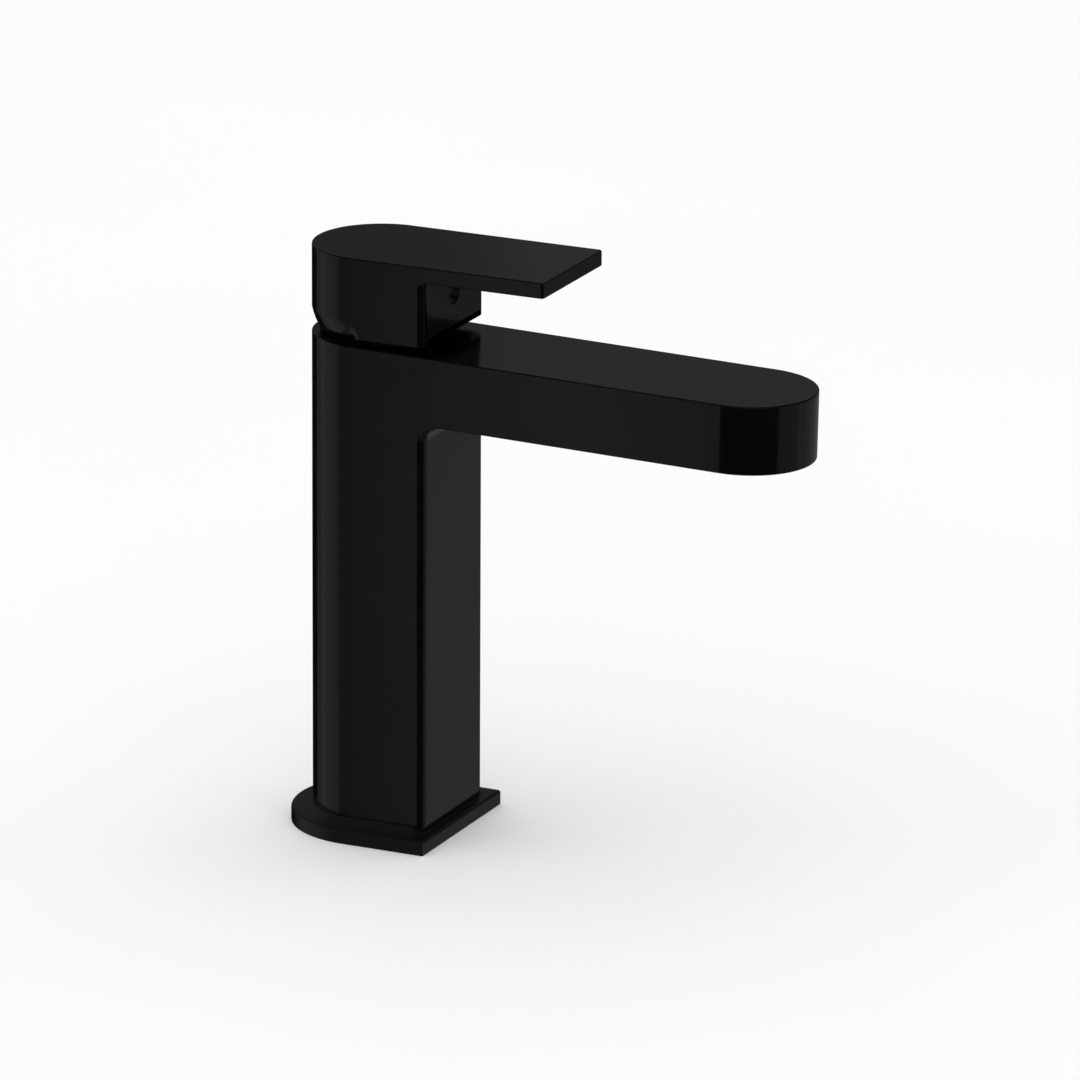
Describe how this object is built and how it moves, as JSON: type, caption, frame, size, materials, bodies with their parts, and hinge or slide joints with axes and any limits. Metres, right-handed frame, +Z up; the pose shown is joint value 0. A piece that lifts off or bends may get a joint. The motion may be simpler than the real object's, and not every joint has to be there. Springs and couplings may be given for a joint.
{
  "type": "single-lever basin mixer",
  "caption": "Single-lever bathroom mixer with a column that is round behind and flat in front, a long flat spout, and a flat lever that lifts for flow and swivels for temperature.",
  "frame": {"origin": "on the column's axis, at the deck under the base flange", "axes": "+Z up along the column, +X along the spout towards its tip, +Y to the left of someone who faces along the spout"},
  "size_m": [0.1613, 0.0526, 0.2187],
  "materials": {
    "black_finish": "satin black coating over cast brass and zinc, slightly glossy on the spout",
    "black_plastic": "moulded, matt",
    "rubber": "moulded, matt",
    "white_plastic": "moulded, satin",
    "grey_plastic": "moulded, satin",
    "ceramic": "lapped flat, semi-gloss",
    "brass": "machined",
    "steel": "brushed and pressed",
    "chrome": "plated"
  },
  "bodies": {
    "faucet_body": {"body_casting": "black_finish", "base_flange": "black_finish", "base_gasket": "rubber", "cartridge_base": "white_plastic", "cartridge_housing": "white_plastic", "hot_port_seal": "rubber", "cold_port_seal": "rubber", "outlet_port_seal": "rubber", "fixed_disc": "ceramic", "cartridge_nut": "brass", "nut_cover_ring": "steel", "aerator_shell": "chrome", "aerator_core": "grey_plastic", "aerator_screen": "steel", "aerator_washer": "rubber", "fixing_stud": "brass", "clamp_seal": "rubber", "clamp_plate": "steel", "fixing_nut": "brass"},
    "turret": {"swivel_turret": "grey_plastic", "turret_o_ring": "rubber", "spindle_pin": "steel"},
    "lever": {"lever_spindle": "brass", "handle": "black_finish", "grub_screw": "steel", "screw_plug": "black_plastic"},
    "disc": {"disc_carrier": "grey_plastic", "moving_disc": "ceramic"}
  },
  "joints": [
    {"name": "lever_swivel", "type": "hinge", "parent": "faucet_body", "child": "turret", "pos_m": [0, 0, 0.12765], "axis": [0, 0, 1], "range_deg": [-45, 45]},
    {"name": "lever_lift", "type": "hinge", "parent": "turret", "child": "lever", "pos_m": [0, 0, 0.1591], "axis": [0, -1, 0], "range_deg": [0, 20]},
    {"name": "disc_slide", "type": "slide", "parent": "turret", "child": "disc", "axis": [1, 0, 0], "range_m": [0, 0.00376]}
  ],
  "couplings": [
    {"joint": "disc_slide", "follows": "lever_lift", "m_per_rad": 0.010745}
  ]
}
